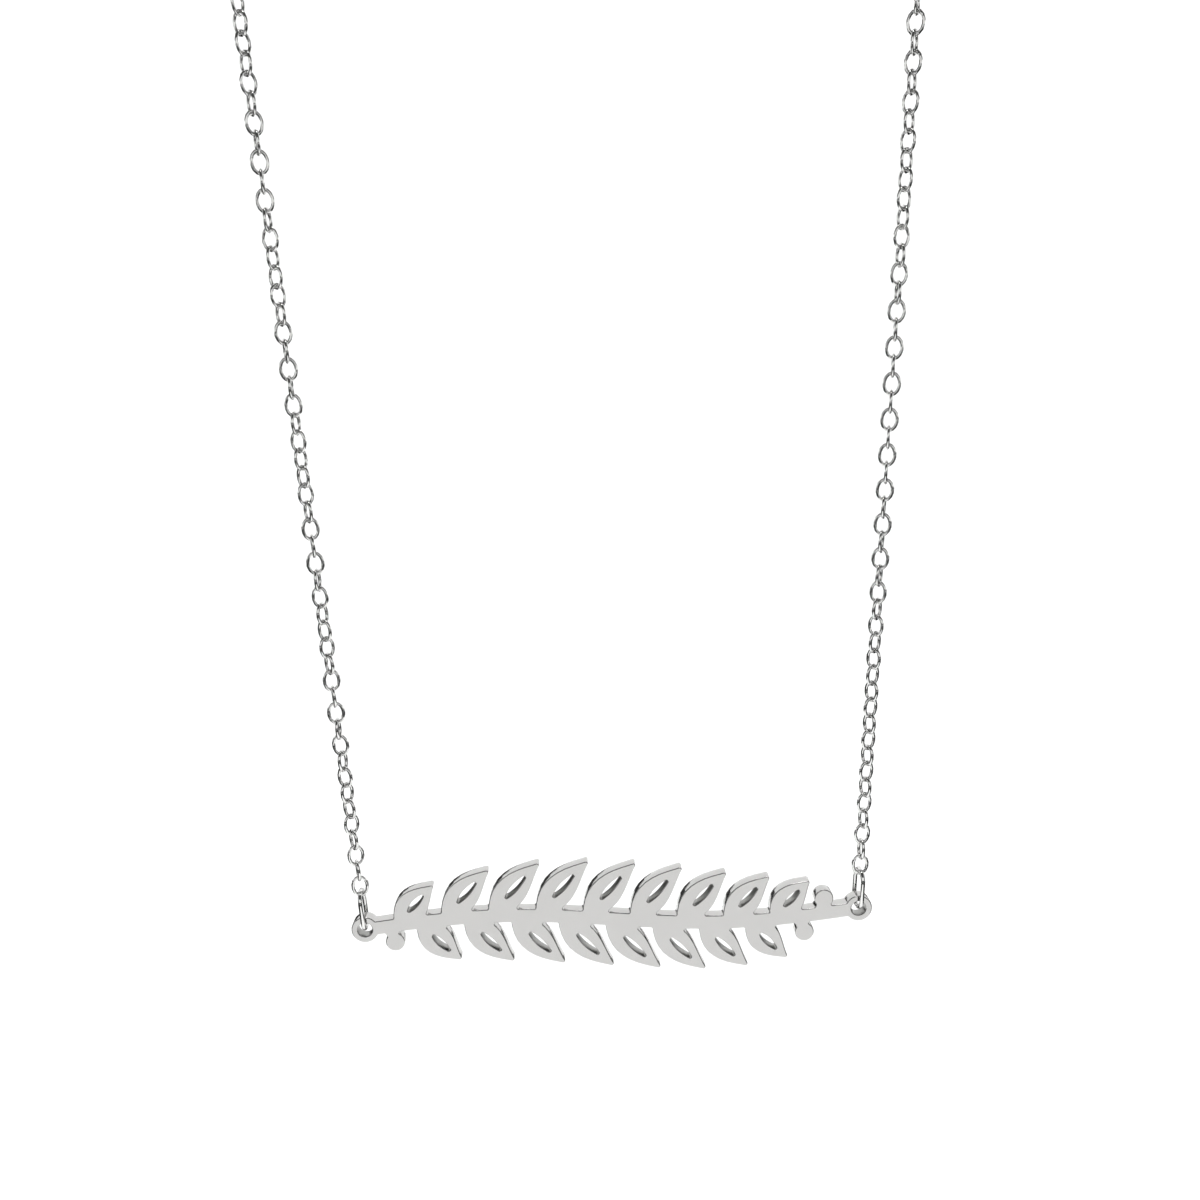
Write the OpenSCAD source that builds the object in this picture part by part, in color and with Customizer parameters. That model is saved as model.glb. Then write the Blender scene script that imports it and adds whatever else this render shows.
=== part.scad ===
// Nameplate necklace: a pierced plate that hangs by its two ends from a fine cable chain.
// The chain is a whole loop, closed at the nape by a spring ring clasp.
// It hangs upright with +Z up and its front towards -Y. The origin is under the loop's crest,
// where a neck or a display form holds it. All sizes are millimetres.

/* [Nameplate] */
// Distance between the centres of the two eyelet holes
hole_spacing = 45.4; // [42:0.1:50]
// Thickness of the plate
plate_thickness = 1.2; // [0.8:0.1:1.6]
// Length of the longest leaf
leaf_length = 7; // [6:0.1:8]
// Width of a leaf across its widest place
leaf_width = 2.8; // [2.2:0.1:3]
// Slant of the leaves against the length of the plate, in degrees
leaf_slant = 48; // [42:1:58]
// Width of the slot that pierces each leaf
slot_width = 0.65; // [0.5:0.05:0.9]
// Width of the stem that carries the leaves
stem_width = 1.3; // [1:0.1:1.6]
// How far the stem sways above and below the line of the eyelets
stem_sway = 0.8; // [0:0.1:1.2]
// Diameter of the berries near the ends of the stem
berry_size = 1.75; // [1.4:0.05:2]
// Diameter of the hole in each eyelet
eyelet_hole = 1.35; // [1.2:0.05:1.6]
// Width of the metal round each eyelet hole
eyelet_rim = 0.55; // [0.4:0.05:0.8]

/* [Chain] */
// Number of links in each half of the chain
links_per_side = 120; // [100:1:122]
// Outer length of a chain link
link_length = 2.12; // [1.9:0.02:2.4]
// Outer width of a chain link
link_width = 1.6; // [1.4:0.05:1.8]
// Diameter of the chain wire
chain_wire = 0.26; // [0.2:0.01:0.3]
// Free gap between links that bear on each other
link_gap = 0.1; // [0.1:0.01:0.18]
// Outward lean of each strand from the vertical, in degrees
strand_lean = 3.1; // [1:0.1:6]

/* [Jump links] */
// Outer length of the link through each eyelet
jump_length = 4; // [3.4:0.1:4.5]
// Wire diameter of that link
jump_wire = 0.4; // [0.3:0.01:0.45]
// Room on each face of the plate inside that link
jump_slack = 0.2; // [0.15:0.01:0.4]
// How far the right one of the two is turned about its own length, in degrees
jump_turn = 7; // [0:1:8]

/* [Clasp] */
// Outer diameter of the spring ring
clasp_size = 5.5; // [5:0.1:7]
// Wire diameter of the spring ring
clasp_wire = 1.1; // [0.9:0.05:1.3]
// Outer diameter of the eye that one end of the chain hangs in
eye_size = 2; // [1.9:0.1:2.6]
// Wire diameter of the eye
eye_wire = 0.5; // [0.4:0.05:0.6]
// Diameter of the thumb knob on the spring ring
knob_size = 0.7; // [0.5:0.05:0.9]
// Outer diameter of the end ring that the clasp hooks into
end_ring_size = 3.4; // [3.3:0.1:4.5]
// Wire diameter of the end ring
end_ring_wire = 0.5; // [0.4:0.05:0.6]

/* [Hidden] */
left = -1;
right = 1;
ring_steps = 64;
wire_steps = 32;

// Centre line of a chain link: half its length, half its width and its pitch along the chain
link_reach = (link_length - chain_wire) / 2;
link_half = (link_width - chain_wire) / 2;
link_pitch = link_length - 2 * chain_wire - link_gap;

// The jump link spans the plate and carries it by the two upper edges of the eyelet hole
jump_inner = plate_thickness / 2 + jump_slack;
jump_half = jump_inner + jump_wire / 2;
jump_reach = (jump_length - jump_wire) / 2;
jump_spread = jump_wire / 2 + plate_thickness / 2 * sin(jump_turn);
hole_reach = sqrt(pow(eyelet_hole / 2, 2) - pow(jump_spread, 2));
jump_foot = hole_reach - jump_half
    + sqrt(pow(jump_inner - link_gap, 2) - pow(plate_thickness / 2, 2));
first_link = jump_foot + 2 * jump_reach - jump_wire / 2 - chain_wire / 2 - link_gap + link_reach;

// The clasp lies flat and straight across the crest, between the last links of both halves
clasp_radius = (clasp_size - clasp_wire) / 2;
eye_radius = (eye_size - eye_wire) / 2;
end_ring_radius = (end_ring_size - end_ring_wire) / 2;
eye_weld = 0.6 * eye_wire;
eye_place = clasp_size / 2 + eye_size / 2 - eye_weld;
end_ring_place = clasp_radius - clasp_wire / 2 - end_ring_wire / 2 - link_gap + end_ring_radius;
left_span = eye_place + eye_radius - eye_wire / 2 - chain_wire / 2 - link_gap + link_reach;
right_span = end_ring_place + end_ring_radius - end_ring_wire / 2 - chain_wire / 2 - link_gap
    + link_reach;
crest_half = (left_span + right_span) / 2;
clasp_place = (left_span - right_span) / 2;
crest_level = end_ring_size / 2;

// Each half of the loop is a straight strand that leans outward, then a round arch to the crest
arch_turn = (90 + strand_lean) * PI / 180;
half_route = first_link + (links_per_side - 1) * link_pitch;
strand_run = (half_route - (hole_spacing / 2 - crest_half) / cos(strand_lean) * arch_turn)
    / (1 + tan(strand_lean) * arch_turn);
arch_radius = (hole_spacing / 2 + strand_run * sin(strand_lean) - crest_half) / cos(strand_lean);
arch_centre = strand_run * cos(strand_lean) + arch_radius * sin(strand_lean);
hole_level = crest_level - arch_centre - arch_radius;

// Each row is a share of the links in one half of the chain and the twist there, in degrees.
// The last link lies across what it hangs in, whether the number of links is even or odd.
end_twist = links_per_side % 2 == 0 ? 0 : 90;
left_twist = [[0, 10], [0.1, 105], [0.175, 195], [0.26, 282], [0.35, 375], [0.42, 425],
    [1, 450 + end_twist]];
right_twist = [[0, 0], [0.04, 26], [0.08, 28], [0.12, 40], [0.15, 60], [0.2, 74], [0.27, 79],
    [0.34, 126], [0.41, 155], [1, 180 + end_twist]];

// Each leaf has its root as a share of the hole spacing from the middle, its side of the stem
// and its length as a share of the longest. Each berry has its root and its side.
ROOT = 0;
SIDE = 1;
LENGTH = 2;
above = 1;
below = -1;
leaves = [[-0.43, above, 0.72], [-0.335, above, 0.9], [-0.24, above, 0.97], [-0.145, above, 1],
    [-0.05, above, 1], [0.045, above, 0.98], [0.14, above, 0.92], [0.235, above, 0.84],
    [0.33, above, 0.7], [-0.385, below, 0.76], [-0.29, below, 0.88], [-0.195, below, 0.96],
    [-0.1, below, 1], [-0.005, below, 1], [0.09, below, 0.97], [0.185, below, 0.88],
    [0.28, below, 0.74]];
berries = [[-0.46, below], [0.37, below], [0.41, above]];
leaf_bend = 11;
leaf_stalk = 0.85 * stem_width;
slot_ends = [0.26, 0.8];
berry_stalk = 0.5 * stem_width;
tip_round = 0.18;
corner_round = 0.15;

// Place on the route at a distance from the eyelet hole: across, up, and lean in degrees
function straight_spot(along) =
    [hole_spacing / 2 + along * sin(strand_lean), along * cos(strand_lean), strand_lean];
function arch_spot(along) =
    let (lean = strand_lean - (along - strand_run) / arch_radius * 180 / PI)
    [crest_half + arch_radius * cos(lean), arch_centre - arch_radius * sin(lean), lean];
function route_spot(along) = along < strand_run ? straight_spot(along) : arch_spot(along);

// Puts a piece on one half of the route, with its own Z along the chain
module on_route(side, along, roll) {
    spot = route_spot(along);
    translate([side * spot[0], 0, hole_level + spot[1]])
        rotate([0, side * spot[2], 0])
            rotate([0, 0, roll])
                children();
}

// Ring of round wire in the XY plane, whole or as far round as the angle says
module wire_ring(size, wire, angle = 360) {
    rotate_extrude(angle = angle, $fn = ring_steps)
        translate([(size - wire) / 2, 0])
            circle(d = wire, $fn = wire_steps);
}

// Long link of round wire in the XZ plane: two half rings joined by two straight sides
module wire_link(length, width, wire) {
    straight = (length - width) / 2;
    for (flip = [0, 180])
        rotate([0, flip, 0]) {
            translate([0, 0, straight])
                rotate([90, 0, 0])
                    wire_ring(width, wire, 180);
            translate([(width - wire) / 2, 0, -straight])
                cylinder(d = wire, h = 2 * straight, $fn = wire_steps);
        }
}

module jump_link(side, turn) {
    color("silver")
        on_route(side, jump_foot + jump_reach, 90 + turn)
            wire_link(jump_length, 2 * jump_half + jump_wire, jump_wire);
}

module jump_link_left() {
    jump_link(left, 0);
}

module jump_link_right() {
    jump_link(right, jump_turn);
}

// Half of the chain: every other link is turned a quarter, and the whole strand is twisted
module chain(side, twist) {
    last = links_per_side - 1;
    color("silver")
        for (link = [0 : last])
            on_route(side, first_link + link * link_pitch, 90 * link + lookup(link / last, twist))
                wire_link(link_length, link_width, chain_wire);
}

module chain_left() {
    chain(left, left_twist);
}

module chain_right() {
    chain(right, right_twist);
}

// Spring ring with the eye welded to it and the thumb knob on its rim
module spring_ring_clasp() {
    knob_angle = 60;
    color("silver")
        translate([clasp_place, 0, crest_level]) {
            wire_ring(clasp_size, clasp_wire);
            translate([-eye_place, 0, 0])
                wire_ring(eye_size, eye_wire);
            rotate([0, 90, knob_angle])
                translate([0, 0, clasp_radius])
                    cylinder(d = knob_size, h = clasp_wire / 2 + knob_size, $fn = wire_steps);
        }
}

module end_ring() {
    color("silver")
        translate([clasp_place + end_ring_place, 0, crest_level])
            rotate([90, 0, 0])
                wire_ring(end_ring_size, end_ring_wire);
}

// Point on a line bent towards a knee, the direction there, and the direction square to it
function bend(root, knee, tip, t) = pow(1 - t, 2) * root + 2 * (1 - t) * t * knee + pow(t, 2) * tip;
function aim(root, knee, tip, t) = let (d = (1 - t) * (knee - root) + t * (tip - knee)) d / norm(d);
function square_to(d) = [-d[1], d[0]];

// Pointed blade along a bent line, a stalk wide at its root and widest below its middle
module blade(root, knee, tip, stalk, wide) {
    steps = 10;
    fullness = 0.86;
    taper = 1.15;
    function belly(t) = pow(sin(180 * pow(t, fullness)), taper);
    function half(t) = stalk / 2 * (1 - t) + (wide / 2 - stalk / 4) * belly(t);
    edges = [for (edge = [1, -1])
        [for (i = [0 : steps])
            let (t = i / steps)
            bend(root, knee, tip, t) + edge * half(t) * square_to(aim(root, knee, tip, t))]];
    polygon(concat(edges[0], [for (i = [steps : -1 : 0]) edges[1][i]]));
}

function stem_point(share) = [share * hole_spacing, -stem_sway * sin(360 * share)];

module stem() {
    steps = 24;
    edges = [for (edge = [1, -1])
        [for (i = [0 : steps]) stem_point(i / steps - 0.5) + [0, edge * stem_width / 2]]];
    polygon(concat(edges[0], [for (i = [steps : -1 : 0]) edges[1][i]]));
}

// Leaf that bends forward from the stem, pierced by a slot along its midrib
module leaf(row) {
    long = row[LENGTH] * leaf_length;
    rise = leaf_slant + leaf_bend;
    root = stem_point(row[ROOT]);
    knee = root + 0.5 * long * [cos(rise), row[SIDE] * sin(rise)];
    tip = root + long * [cos(leaf_slant), row[SIDE] * sin(leaf_slant)];
    slot_middle = (slot_ends[0] + slot_ends[1]) / 2;
    difference() {
        blade(root, knee, tip, leaf_stalk, leaf_width);
        blade(bend(root, knee, tip, slot_ends[0]), bend(root, knee, tip, slot_middle),
            bend(root, knee, tip, slot_ends[1]), 0, slot_width);
    }
}

module berry(row) {
    root = stem_point(row[ROOT]);
    head = root + [berry_size / 2, row[SIDE] * (stem_width / 2 + berry_size / 2)];
    translate(head)
        circle(d = berry_size);
    hull()
        for (end = [root, head])
            translate(end)
                circle(d = berry_stalk);
}

// Leafy branch between the two eyelets, with its tips and inner corners rounded
module plate_outline() {
    $fn = 16;
    offset(r = tip_round)
        offset(delta = -tip_round)
            offset(r = -corner_round)
                offset(delta = corner_round) {
                    stem();
                    for (row = leaves)
                        leaf(row);
                    for (row = berries)
                        berry(row);
                    for (side = [left, right])
                        translate([side * hole_spacing / 2, 0])
                            circle(d = eyelet_hole + 2 * eyelet_rim, $fn = ring_steps);
                }
}

module nameplate() {
    color("gainsboro")
        translate([0, 0, hole_level])
            rotate([90, 0, 0])
                difference() {
                    linear_extrude(height = plate_thickness, center = true)
                        plate_outline();
                    for (side = [left, right])
                        translate([side * hole_spacing / 2, 0, 0])
                            cylinder(d = eyelet_hole, h = 2 * plate_thickness, center = true,
                                $fn = ring_steps);
                }
}

nameplate();
jump_link_left();
jump_link_right();
chain_left();
chain_right();
spring_ring_clasp();
end_ring();
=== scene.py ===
"""Nameplate necklace: a pierced steel plate on a fine cable chain, hung up as on a neck."""

import math

import bmesh
import bpy
import numpy as np
from mathutils import Euler, Matrix, Vector


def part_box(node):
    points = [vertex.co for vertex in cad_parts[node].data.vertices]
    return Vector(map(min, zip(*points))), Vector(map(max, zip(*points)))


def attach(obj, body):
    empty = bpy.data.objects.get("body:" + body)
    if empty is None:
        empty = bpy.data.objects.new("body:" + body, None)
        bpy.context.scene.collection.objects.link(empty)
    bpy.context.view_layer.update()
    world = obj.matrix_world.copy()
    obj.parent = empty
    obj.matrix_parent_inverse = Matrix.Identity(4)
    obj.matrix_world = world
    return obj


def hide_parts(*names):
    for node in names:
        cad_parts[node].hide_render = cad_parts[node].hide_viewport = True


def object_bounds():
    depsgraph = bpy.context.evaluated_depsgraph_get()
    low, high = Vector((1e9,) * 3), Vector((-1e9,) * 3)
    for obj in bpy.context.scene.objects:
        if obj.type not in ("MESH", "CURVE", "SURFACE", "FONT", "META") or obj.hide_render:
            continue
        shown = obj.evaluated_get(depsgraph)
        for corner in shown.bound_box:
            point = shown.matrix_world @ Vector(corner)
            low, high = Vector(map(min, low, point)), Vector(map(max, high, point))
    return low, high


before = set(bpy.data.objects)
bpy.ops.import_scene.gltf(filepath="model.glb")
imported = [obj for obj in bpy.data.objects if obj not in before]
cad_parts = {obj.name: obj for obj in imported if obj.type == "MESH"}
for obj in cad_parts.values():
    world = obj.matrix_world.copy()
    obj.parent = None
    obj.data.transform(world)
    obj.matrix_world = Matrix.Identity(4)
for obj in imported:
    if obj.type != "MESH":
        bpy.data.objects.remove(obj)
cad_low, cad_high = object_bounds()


# The nameplate: one flat plate of polished stainless steel sheet, cut round and through by laser
# as a leafy branch. The cut edges are tumbled, which leaves them slightly round. The insides of
# the cuts are rougher, and a darker grey there is painted shade.

MM = 0.001
SAME_POINT = 0.0005 * MM
SLIVER = 0.0002 * MM
CREASE = math.radians(50)
EDGE_ROUND = 0.09
EDGE_STEPS = 2

# How far a face's unit normal points along Y: on the plate's front, on its walls at most, and on
# its two flat faces at least.
FRONT, WALL, FLAT = -0.9, 0.6, 0.99

scene = bpy.context.scene


def outline_loops(node):
    """The closed outlines of a plate's front face, each a list of (across, up) in millimetres."""
    sheet = bmesh.new()
    sheet.from_mesh(node.data)
    bmesh.ops.remove_doubles(sheet, verts=sheet.verts, dist=SAME_POINT)
    front = {face for face in sheet.faces if face.normal.y < FRONT}
    rim = dict.fromkeys(edge for edge in sheet.edges
                        if sum(face in front for face in edge.link_faces) == 1)
    loops = []
    while rim:
        edge, _ = rim.popitem()
        first, vertex = edge.verts
        loop = [first, vertex]
        while vertex is not first:
            edge = next(other for other in vertex.link_edges if other in rim)
            del rim[edge]
            vertex = edge.other_vert(vertex)
            loop.append(vertex)
        loops.append([(v.co.x / MM, v.co.z / MM) for v in loop[:-1]])
    sheet.free()
    return loops


def islands(members, near):
    """Splits members into the groups that reach each other through near(member), in order."""
    waiting = dict.fromkeys(members)
    groups = []
    while waiting:
        member, _ = waiting.popitem()
        group = [member]
        for member in group:
            for other in near(member):
                if other in waiting:
                    del waiting[other]
                    group.append(other)
        groups.append(group)
    return groups


def plain_mesh(shape, name, scale=1.0):
    """Turns a finished object into a plain mesh object at the origin, in metres."""
    bpy.context.view_layer.update()
    evaluated = shape.evaluated_get(bpy.context.evaluated_depsgraph_get())
    mesh = bpy.data.meshes.new_from_object(evaluated)
    mesh.transform(Matrix.Scale(scale, 4) @ shape.matrix_world)
    mesh.name = name
    bpy.data.objects.remove(shape)
    piece = bpy.data.objects.new(name, mesh)
    scene.collection.objects.link(piece)
    return piece


def polished_steel(name, colour, roughness, grain, rim=1.0):
    """Bright steel with faint clouds and the finest of hairlines left by the polish. A rim below
    one darkens the steel where it is seen at a slant."""
    cloud_scale, cloud_tint, cloud_haze = 180.0, 0.03, 0.2
    hairline_scale, hairline_squeeze, hairline_depth = 1500.0, 12.0, 0.01 * MM

    material = bpy.data.materials.new(name)
    material.use_nodes = True
    nodes, links = material.node_tree.nodes, material.node_tree.links
    steel = nodes["Principled BSDF"]
    steel.inputs["Metallic"].default_value = 1.0
    steel.inputs["Specular Tint"].default_value = (rim, rim, rim, 1.0)

    place = nodes.new("ShaderNodeTexCoord")
    cloud = nodes.new("ShaderNodeTexNoise")
    cloud.inputs["Scale"].default_value = cloud_scale
    cloud.inputs["Detail"].default_value = 3.0
    links.new(place.outputs["Object"], cloud.inputs["Vector"])

    tint = nodes.new("ShaderNodeMix")
    tint.data_type = "RGBA"
    darker, lighter = 1.0 - cloud_tint, 1.0 + cloud_tint
    tint.inputs[6].default_value = (*[darker * part for part in colour], 1.0)
    tint.inputs[7].default_value = (*[min(1.0, lighter * part) for part in colour], 1.0)
    links.new(cloud.outputs["Fac"], tint.inputs["Factor"])
    links.new(tint.outputs[2], steel.inputs["Base Color"])

    haze = nodes.new("ShaderNodeMapRange")
    haze.inputs["To Min"].default_value = (1.0 - cloud_haze) * roughness
    haze.inputs["To Max"].default_value = (1.0 + cloud_haze) * roughness
    links.new(cloud.outputs["Fac"], haze.inputs["Value"])
    links.new(haze.outputs["Result"], steel.inputs["Roughness"])

    squeeze = nodes.new("ShaderNodeMapping")
    squeeze.inputs["Scale"].default_value = (1.0, 1.0, hairline_squeeze)
    hairline = nodes.new("ShaderNodeTexNoise")
    hairline.inputs["Scale"].default_value = hairline_scale
    hairline.inputs["Detail"].default_value = 2.0
    relief = nodes.new("ShaderNodeBump")
    relief.inputs["Strength"].default_value = grain
    relief.inputs["Distance"].default_value = hairline_depth
    links.new(place.outputs["Object"], squeeze.inputs["Vector"])
    links.new(squeeze.outputs["Vector"], hairline.inputs["Vector"])
    links.new(hairline.outputs["Fac"], relief.inputs["Height"])
    links.new(relief.outputs["Normal"], steel.inputs["Normal"])
    return material


def shade_and_dull_bores(material, colour, roughness):
    """Lets the attribute "bore" make a polished steel rougher inside a cut, and paint the shade
    there as a darker grey.
    """
    nodes, links = material.node_tree.nodes, material.node_tree.links
    steel = nodes["Principled BSDF"]
    bore = nodes.new("ShaderNodeAttribute")
    bore.attribute_name = "bore"

    # The darker grey mixed in here is painted shade inside the cuts.
    bright = steel.inputs["Base Color"].links[0].from_socket
    shade = nodes.new("ShaderNodeMix")
    shade.data_type = "RGBA"
    shade.inputs[7].default_value = (*colour, 1.0)
    links.new(bore.outputs["Fac"], shade.inputs["Factor"])
    links.new(bright, shade.inputs[6])
    links.new(shade.outputs[2], steel.inputs["Base Color"])

    smooth = steel.inputs["Roughness"].links[0].from_socket
    rough = nodes.new("ShaderNodeMix")
    rough.inputs[3].default_value = roughness
    links.new(bore.outputs["Fac"], rough.inputs["Factor"])
    links.new(smooth, rough.inputs[2])
    links.new(rough.outputs[0], steel.inputs["Roughness"])


# The sheet is drawn in millimetres along the CAD plate's outlines, and grown to its thickness.
plate_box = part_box("nameplate")
plate_thickness = (plate_box[1][1] - plate_box[0][1]) / MM
sheet = bpy.data.curves.new("nameplate_sheet", "CURVE")
sheet.dimensions = "2D"
sheet.fill_mode = "BOTH"
sheet.resolution_u = 2
for loop in outline_loops(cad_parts["nameplate"]):
    spline = sheet.splines.new("BEZIER")
    spline.bezier_points.add(len(loop) - 1)
    for point, (across, up) in zip(spline.bezier_points, loop):
        point.co = (across, up, 0)
        point.handle_left_type = point.handle_right_type = "AUTO"
    spline.use_cyclic_u = True
sheet.extrude = plate_thickness / 2 - EDGE_ROUND
sheet.bevel_depth = EDGE_ROUND
sheet.bevel_resolution = EDGE_STEPS
sheet.offset = -EDGE_ROUND
cut_sheet = bpy.data.objects.new("nameplate_sheet", sheet)
cut_sheet.matrix_world = Matrix.Rotation(math.radians(90), 4, "X")
scene.collection.objects.link(cut_sheet)
plate = plain_mesh(cut_sheet, "polished_nameplate", MM)

# Each closed band of wall but the longest, which is the outer edge, is the bore of a cut.
skin = bmesh.new()
skin.from_mesh(plate.data)
bmesh.ops.remove_doubles(skin, verts=skin.verts, dist=SAME_POINT)
bmesh.ops.dissolve_degenerate(skin, edges=skin.edges, dist=SLIVER)
bmesh.ops.recalc_face_normals(skin, faces=skin.faces)
# The bore mask marks the walls of the cuts, where the plate's material paints in shade as a darker
# grey.
bore = skin.faces.layers.float.new("bore")
bands = islands([face for face in skin.faces if abs(face.normal.y) < WALL],
                lambda face: [other for edge in face.edges for other in edge.link_faces])
outer_band = max(bands, key=len)
for band in bands:
    for face in band:
        face[bore] = float(band is not outer_band)
skin.to_mesh(plate.data)
skin.free()

# The two flat faces are shaded flat right up to the rounded edge.
plate.data.shade_smooth()
plate.data.set_sharp_from_angle(angle=CREASE)
normals = [corner.vector.copy() for corner in plate.data.corner_normals]
flats = [face for face in plate.data.polygons if abs(face.normal.y) > FLAT]
outward = {vertex: face.normal.y for face in flats for vertex in face.vertices}
for corner in plate.data.loops:
    if corner.vertex_index in outward:
        side = math.copysign(1.0, outward[corner.vertex_index])
        normals[corner.index] = Vector((0.0, side, 0.0))
plate.data.normals_split_custom_set(normals)

plate_steel = polished_steel("plate_steel", (0.51, 0.506, 0.498), roughness=0.16, grain=0.05)
# Inside the cuts the steel is rougher, and its darker grey is painted shade.
shade_and_dull_bores(plate_steel, (0.3, 0.3, 0.29), roughness=0.3)
plate.data.materials.clear()
plate.data.materials.append(plate_steel)
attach(plate, "root")
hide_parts("nameplate")


# The cable chain: oval links of round steel wire, each bent through its neighbour and welded
# shut. Every other link lies across the last, and the strands twist a little as they hang.

LINK_STEPS = 14
WIRE_SIDES = 6


def loose_parts(node):
    """The separate solids of a CAD node, each as (centre, axes long to short, outer sizes)."""
    body = bmesh.new()
    body.from_mesh(node.data)
    bmesh.ops.remove_doubles(body, verts=body.verts, dist=SAME_POINT)
    parts = []
    for part in islands(body.verts,
                        lambda vertex: [edge.other_vert(vertex) for edge in vertex.link_edges]):
        faces = dict.fromkeys(face for vertex in part for face in vertex.link_faces)
        middles = np.array([face.calc_center_median() for face in faces])
        areas = np.array([face.calc_area() for face in faces])
        centre = np.average(middles, axis=0, weights=areas)
        spread = np.cov((middles - centre).T, aweights=areas)
        axes = np.linalg.eigh(spread)[1][:, ::-1]
        axes[:, 2] = np.cross(axes[:, 0], axes[:, 1])
        reach = (np.array([vertex.co for vertex in part]) - centre) @ axes
        sizes = np.ptp(reach, axis=0)
        parts.append((centre + axes @ (reach.max(axis=0) + reach.min(axis=0)) / 2, axes, sizes))
    body.free()
    return parts


def link_tree(name):
    """Geometry Nodes that bend one oval link of wire and set a copy of it at each point."""
    tree = bpy.data.node_groups.new(name, "GeometryNodeTree")
    face = tree.interface
    face.new_socket("Geometry", in_out="INPUT", socket_type="NodeSocketGeometry")
    for size in ("Link Length", "Link Width", "Wire"):
        face.new_socket(size, in_out="INPUT", socket_type="NodeSocketFloat")
    face.new_socket("Material", in_out="INPUT", socket_type="NodeSocketMaterial")
    face.new_socket("Geometry", in_out="OUTPUT", socket_type="NodeSocketGeometry")
    nodes, links = tree.nodes, tree.links
    start = nodes.new("NodeGroupInput")
    end = nodes.new("NodeGroupOutput")

    def less_wire(size):
        less = nodes.new("ShaderNodeMath")
        less.operation = "SUBTRACT"
        links.new(start.outputs[size], less.inputs[0])
        links.new(start.outputs["Wire"], less.inputs[1])
        return less.outputs[0]

    def halved(size):
        half = nodes.new("ShaderNodeMath")
        half.operation = "DIVIDE"
        half.inputs[1].default_value = 2.0
        links.new(size, half.inputs[0])
        return half.outputs[0]

    bend = nodes.new("GeometryNodeCurvePrimitiveCircle")
    bend.inputs["Resolution"].default_value = LINK_STEPS
    bend.inputs["Radius"].default_value = 1.0
    oval = nodes.new("ShaderNodeCombineXYZ")
    oval.inputs["Z"].default_value = 1.0
    links.new(halved(less_wire("Link Length")), oval.inputs["X"])
    links.new(halved(less_wire("Link Width")), oval.inputs["Y"])
    shape = nodes.new("GeometryNodeTransform")
    links.new(bend.outputs["Curve"], shape.inputs["Geometry"])
    links.new(oval.outputs["Vector"], shape.inputs["Scale"])

    section = nodes.new("GeometryNodeCurvePrimitiveCircle")
    section.inputs["Resolution"].default_value = WIRE_SIDES
    links.new(halved(start.outputs["Wire"]), section.inputs["Radius"])
    wire = nodes.new("GeometryNodeCurveToMesh")
    links.new(shape.outputs["Geometry"], wire.inputs["Curve"])
    links.new(section.outputs["Curve"], wire.inputs["Profile Curve"])

    turn = nodes.new("GeometryNodeInputNamedAttribute")
    turn.data_type = "FLOAT_VECTOR"
    turn.inputs["Name"].default_value = "turn"
    euler = nodes.new("FunctionNodeEulerToRotation")
    links.new(turn.outputs["Attribute"], euler.inputs["Euler"])
    seat = nodes.new("GeometryNodeInstanceOnPoints")
    links.new(start.outputs["Geometry"], seat.inputs["Points"])
    links.new(wire.outputs["Mesh"], seat.inputs["Instance"])
    links.new(euler.outputs["Rotation"], seat.inputs["Rotation"])

    real = nodes.new("GeometryNodeRealizeInstances")
    links.new(seat.outputs["Instances"], real.inputs["Geometry"])
    finish = nodes.new("GeometryNodeSetMaterial")
    links.new(real.outputs["Geometry"], finish.inputs["Geometry"])
    links.new(start.outputs["Material"], finish.inputs["Material"])
    links.new(finish.outputs["Geometry"], end.inputs["Geometry"])
    return tree


wire_steel = polished_steel("wire_steel", (0.77, 0.77, 0.76), roughness=0.07, grain=0.03, rim=0.45)
chain_tree = link_tree("cable links")
for name in ("chain_left", "chain_right"):
    seats = loose_parts(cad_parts[name])
    length, width, _ = np.median([sizes for _, _, sizes in seats], axis=0)
    ordered = sorted((centre for centre, _, _ in seats), key=lambda centre: centre[2])
    lower = ordered[:len(ordered) // 2 + 1]
    pitch = np.median([np.linalg.norm(b - a) for a, b in zip(lower, lower[1:])])

    points = bpy.data.meshes.new(name + "_seats")
    points.from_pydata([centre for centre, _, _ in seats], [], [])
    turns = points.attributes.new("turn", "FLOAT_VECTOR", "POINT")
    for turn, (_, axes, _) in zip(turns.data, seats):
        turn.vector = Matrix(axes.tolist()).to_euler()
    strand = bpy.data.objects.new(name + "_seats", points)
    scene.collection.objects.link(strand)
    modifier = strand.modifiers.new("links", "NODES")
    modifier.node_group = chain_tree
    socket = {item.name: item.identifier for item in chain_tree.interface.items_tree
              if item.in_out == "INPUT"}
    modifier[socket["Link Length"]] = float(length)
    modifier[socket["Link Width"]] = float(width)
    # Thick enough that each link bears on the next: a link is two wires longer than the pitch.
    modifier[socket["Wire"]] = float(length - pitch) / 2
    modifier[socket["Material"]] = wire_steel

    cable = plain_mesh(strand, name.replace("chain", "cable_chain"))
    cable.data.shade_smooth()
    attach(cable, "root")
    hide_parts(name)


# The jump links: a long loop of thicker wire through each eyelet, which carries the plate. It
# is closed by hand, so its two ends only butt together on the back of the plate.

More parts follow.
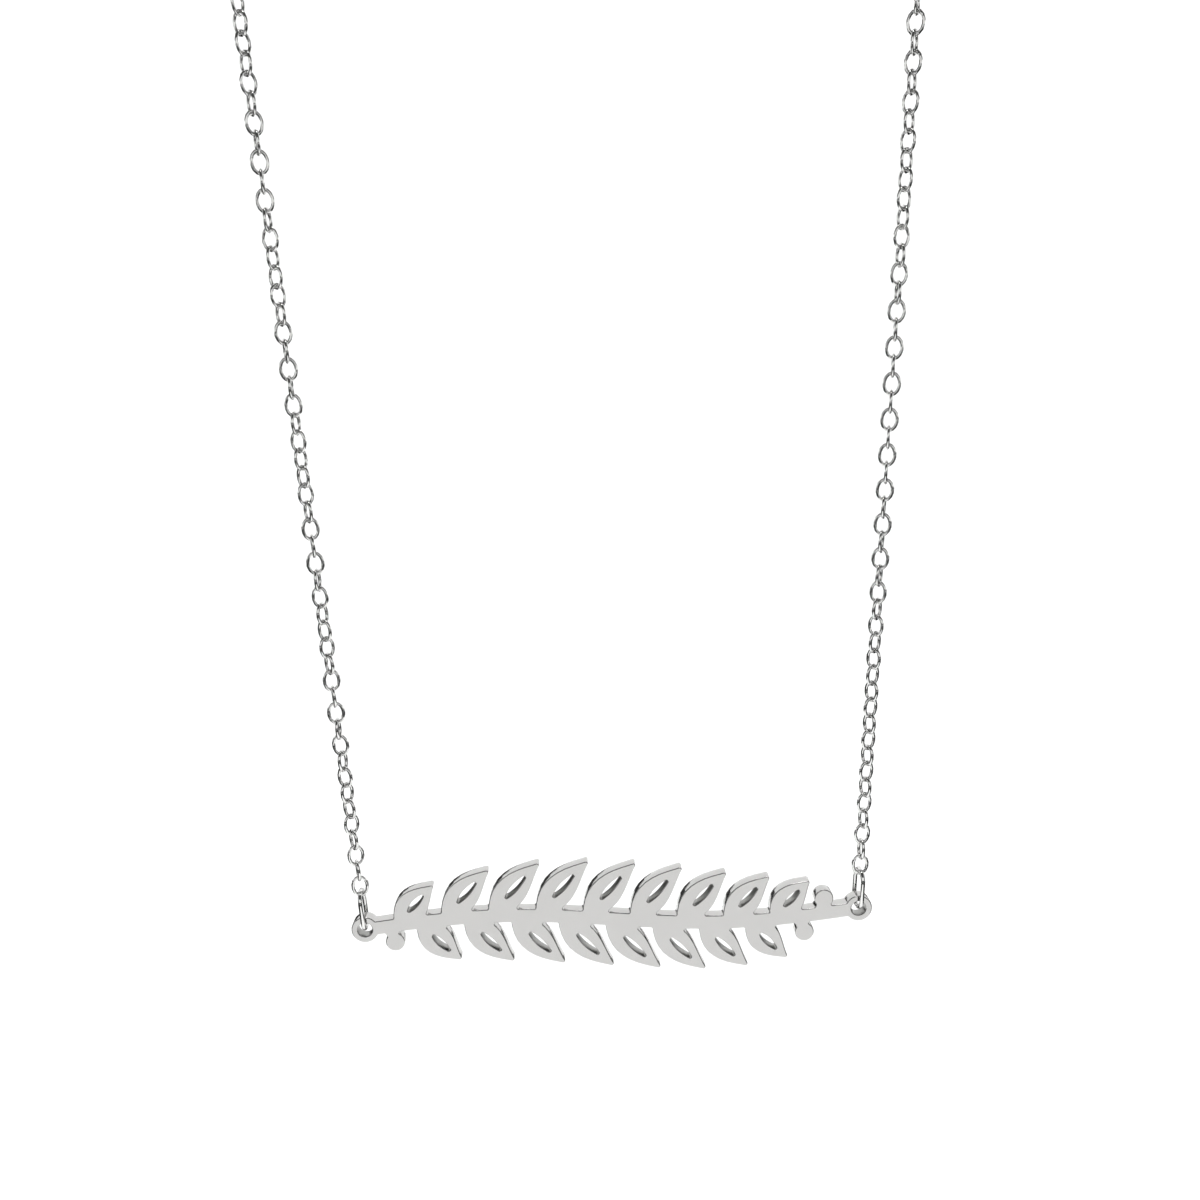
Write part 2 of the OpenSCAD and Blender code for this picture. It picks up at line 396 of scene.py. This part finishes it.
CUT = 0.03
BEND_STEPS = 12
for name in ("jump_link_left", "jump_link_right"):
    ((centre, axes, sizes),) = loose_parts(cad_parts[name])
    length, width, gauge = sizes / MM
    # The side that is drawn first, with the cut in it, has to lie at the back.
    if axes[1, 1] > 0:
        axes = axes * [[1, -1, -1]]
    bend = (width - gauge) / 2
    straight = (length - width) / 2
    half = [(CUT / 2, -bend)]
    for step in range(BEND_STEPS + 1):
        angle = math.pi * step / BEND_STEPS
        half.append((straight + bend * math.sin(angle), -bend * math.cos(angle)))
    path = half + [(-along, out) for along, out in reversed(half)]
    wire = bpy.data.curves.new(name + "_wire", "CURVE")
    wire.dimensions = "3D"
    wire.bevel_depth = gauge / 2
    wire.bevel_resolution = 3
    wire.use_fill_caps = True
    spline = wire.splines.new("POLY")
    spline.points.add(len(path) - 1)
    for point, (along, out) in zip(spline.points, path):
        point.co = (along, out, 0, 1)
    bent = bpy.data.objects.new(name + "_wire", wire)
    bent.matrix_world = (Matrix.Translation(Vector(centre / MM))
                         @ Matrix(axes.tolist()).to_4x4())
    scene.collection.objects.link(bent)
    jump = plain_mesh(bent, name.replace("jump_link", "bent_jump_link"), MM)
    jump.data.shade_smooth()
    jump.data.set_sharp_from_angle(angle=CREASE)
    jump.data.materials.clear()
    jump.data.materials.append(wire_steel)
    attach(jump, "root")
    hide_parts(name)


# The spring ring clasp and the end ring: a tube of steel bent to a ring, with its eye welded
# on and a thumb knob, hooked into a plain welded ring on the other end of the chain. Both are
# the CAD's own solids in their steel.

clasp_steel = polished_steel("clasp_steel", (0.72, 0.72, 0.72), roughness=0.15, grain=0.03)
for name in ("spring_ring_clasp", "end_ring"):
    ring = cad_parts[name]
    ring.data.materials.clear()
    ring.data.materials.append(clasp_steel)


# The studio, in metres: a white paper floor that sweeps up to a backdrop in a dark room. Soft
# lights hang in front, above and at both sides, and two more light only the paper. Dark cards
# that only reflections show draw the metal's edges.

def studio_card(name, centre, aim, size, grey):
    """A flat card that only shows in reflections."""
    card = bpy.data.meshes.new(name)
    x, y = size[0] / 2, size[1] / 2
    card.from_pydata([(-x, -y, 0), (x, -y, 0), (x, y, 0), (-x, y, 0)], [], [(0, 1, 2, 3)])
    board = bpy.data.objects.new(name, card)
    board.location = centre
    board.rotation_euler = (Vector(aim) - Vector(centre)).to_track_quat("Z", "Y").to_euler()
    paint = bpy.data.materials.new(name)
    paint.use_nodes = True
    surface = paint.node_tree.nodes["Principled BSDF"]
    surface.inputs["Base Color"].default_value = (grey, grey, grey, 1.0)
    surface.inputs["Roughness"].default_value = 1.0
    card.materials.append(paint)
    scene.collection.objects.link(board)
    board.visible_camera = False
    board.visible_diffuse = False
    board.visible_shadow = False


# The height of the eyelet holes is that of the plate's leftmost point.
hole_level = min((v.co for v in plate.data.vertices), key=lambda co: co.x).z
plate_middle = (0.0, 0.0, hole_level)
floor_level = cad_low[2] - 0.03

sweep_front, sweep_back, sweep_half, sweep_top = -1.5, 0.35, 1.2, 0.7
sweep_round, sweep_steps = 0.15, 12
profile = [(sweep_front, 0.0), (sweep_back - sweep_round, 0.0)]
for step in range(1, sweep_steps + 1):
    angle = math.radians(90) * step / sweep_steps
    profile.append((sweep_back - sweep_round + sweep_round * math.sin(angle),
                    sweep_round - sweep_round * math.cos(angle)))
profile.append((sweep_back, sweep_top))
sweep = bpy.data.meshes.new("floor")
corners = [(side * sweep_half, y, floor_level + z) for y, z in profile for side in (-1, 1)]
sweep.from_pydata(corners, [], [(2 * row, 2 * row + 1, 2 * row + 3, 2 * row + 2)
                                for row in range(len(profile) - 1)])
sweep.shade_smooth()
paper = bpy.data.materials.new("white_paper")
paper.use_nodes = True
paper_surface = paper.node_tree.nodes["Principled BSDF"]
paper_surface.inputs["Base Color"].default_value = (0.93, 0.93, 0.93, 1.0)
paper_surface.inputs["Roughness"].default_value = 0.9
paper_surface.inputs["Specular IOR Level"].default_value = 0.0
sweep.materials.append(paper)
floor = bpy.data.objects.new("floor", sweep)
scene.collection.objects.link(floor)

side_light_level = hole_level + 0.13
for name, place, aim, size, radiance, mirrored in (
    ("floor light", (0.0, -0.1, 0.9), (0.0, 0.0, floor_level), (1.6, 1.6), 0.78, False),
    ("backdrop light", (0.0, -0.7, 0.5), (0.0, sweep_back, 0.0), (1.4, 0.7), 2.45, False),
    ("front light", (0.0, -0.6, hole_level + 0.27), plate_middle, (1.2, 0.34), 0.9, True),
    ("left light", (-0.5, 0.0, side_light_level), plate_middle, (1.0, 0.15), 0.85, True),
    ("right light", (0.5, 0.0, side_light_level), plate_middle, (1.0, 0.15), 0.85, True),
    ("top light", (0.0, 0.0, 0.6), plate_middle, (0.2, 0.2), 10.0, True),
):
    lamp = bpy.data.lights.new(name, "AREA")
    lamp.shape = "RECTANGLE"
    lamp.size, lamp.size_y = size
    lamp.energy = radiance * math.pi * size[0] * size[1]
    light = bpy.data.objects.new(name, lamp)
    light.location = place
    light.rotation_euler = (Vector(aim) - Vector(place)).to_track_quat("-Z", "Y").to_euler()
    light.visible_glossy = mirrored
    scene.collection.objects.link(light)

# The floor cards face straight up. The table card in front lies just over the ends of the others.
side_card_level = hole_level - 0.08
low_card_level = hole_level - 0.008
floor_card_level = floor_level + 0.004
table_card_level = floor_level + 0.005
overhead = 1.0
for name, place, aim, size, grey in (
    ("table card", (0.0, -0.38, table_card_level), (0.0, -0.38, overhead), (1.2, 0.52), 0.05),
    ("left card", (-0.3, 0.12, side_card_level), plate_middle, (0.25, 0.26), 0.08),
    ("right card", (0.3, 0.12, side_card_level), plate_middle, (0.25, 0.26), 0.08),
    ("low card", (-0.07, 0.09, low_card_level), plate_middle, (0.12, 0.044), 0.02),
    ("left floor card", (-0.23, 0.05, floor_card_level), (-0.23, 0.05, overhead), (0.36, 0.5), 0.0),
    ("right floor card", (0.23, 0.05, floor_card_level), (0.23, 0.05, overhead), (0.36, 0.5), 0.0),
):
    studio_card(name, place, aim, size, grey)

# The room is dark in the metal, and pale to the camera wherever it looks past the paper.
room_in_metal, room_to_camera = 0.08, 0.95
world = bpy.data.worlds.new("studio")
world.use_nodes = True
room = world.node_tree.nodes["Background"]
room.inputs["Color"].default_value = (1.0, 1.0, 1.0, 1.0)
ray = world.node_tree.nodes.new("ShaderNodeLightPath")
gloom = world.node_tree.nodes.new("ShaderNodeMix")
gloom.inputs[2].default_value = room_in_metal
gloom.inputs[3].default_value = room_to_camera
world.node_tree.links.new(ray.outputs["Is Camera Ray"], gloom.inputs["Factor"])
world.node_tree.links.new(gloom.outputs[0], room.inputs["Strength"])
scene.world = world
scene.view_settings.view_transform = "Standard"

# The camera stands a hand's width away and looks slightly down on the plate, rolled a little.
look_down, look_aside, roll = math.radians(11.5), math.radians(-1.0), math.radians(-2.05)
lens = bpy.data.cameras.new("camera")
lens.sensor_width = 36.0
lens.lens = 36.0
lens.clip_start = 0.005
lens.clip_end = 20.0
camera = bpy.data.objects.new("camera", lens)
camera.location = (-1.9 * MM, -102.7 * MM, hole_level + 50.7 * MM)
look = Euler((math.radians(90.0) - look_down, 0.0, look_aside)).to_matrix()
camera.rotation_euler = (look @ Matrix.Rotation(roll, 3, "Z")).to_euler()
scene.collection.objects.link(camera)
scene.camera = camera
